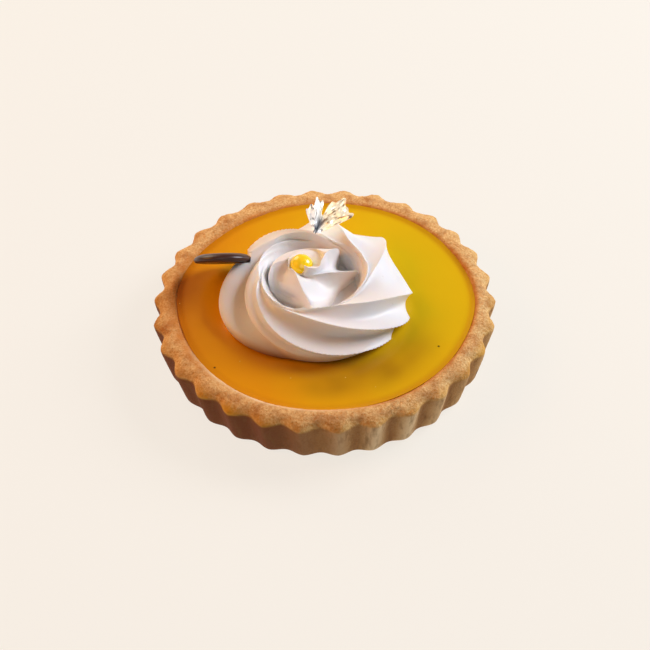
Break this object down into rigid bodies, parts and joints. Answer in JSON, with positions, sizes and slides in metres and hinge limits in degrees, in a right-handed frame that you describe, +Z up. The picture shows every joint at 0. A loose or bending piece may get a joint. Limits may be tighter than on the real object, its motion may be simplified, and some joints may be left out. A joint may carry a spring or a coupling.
{
  "type": "lemon tart",
  "caption": "Round individual lemon tart: fluted shortcrust shell, glossy lemon curd, piped cream rosette with a gel bead, a chocolate round and silver leaf.",
  "frame": {"origin": "centre of the flat base, on the surface the tart stands on", "axes": "+Z up, -Y towards the front, the side the picture is taken from, +X to the right"},
  "size_m": [0.0994, 0.0994, 0.0344],
  "materials": {
    "shortcrust": "baked, sandy crumb",
    "curd": "set curd under a clear glaze",
    "cream": "smooth piped cream",
    "gel": "wet, glossy",
    "chocolate": "satin, tempered",
    "leaf": "crumpled bright leaf"
  },
  "bodies": {
    "root": {"crust": "shortcrust", "lemon_curd": "curd", "cream_rosette": "cream", "lemon_gel": "gel", "chocolate_round": "chocolate", "silver_leaf": "leaf"}
  },
  "joints": []
}
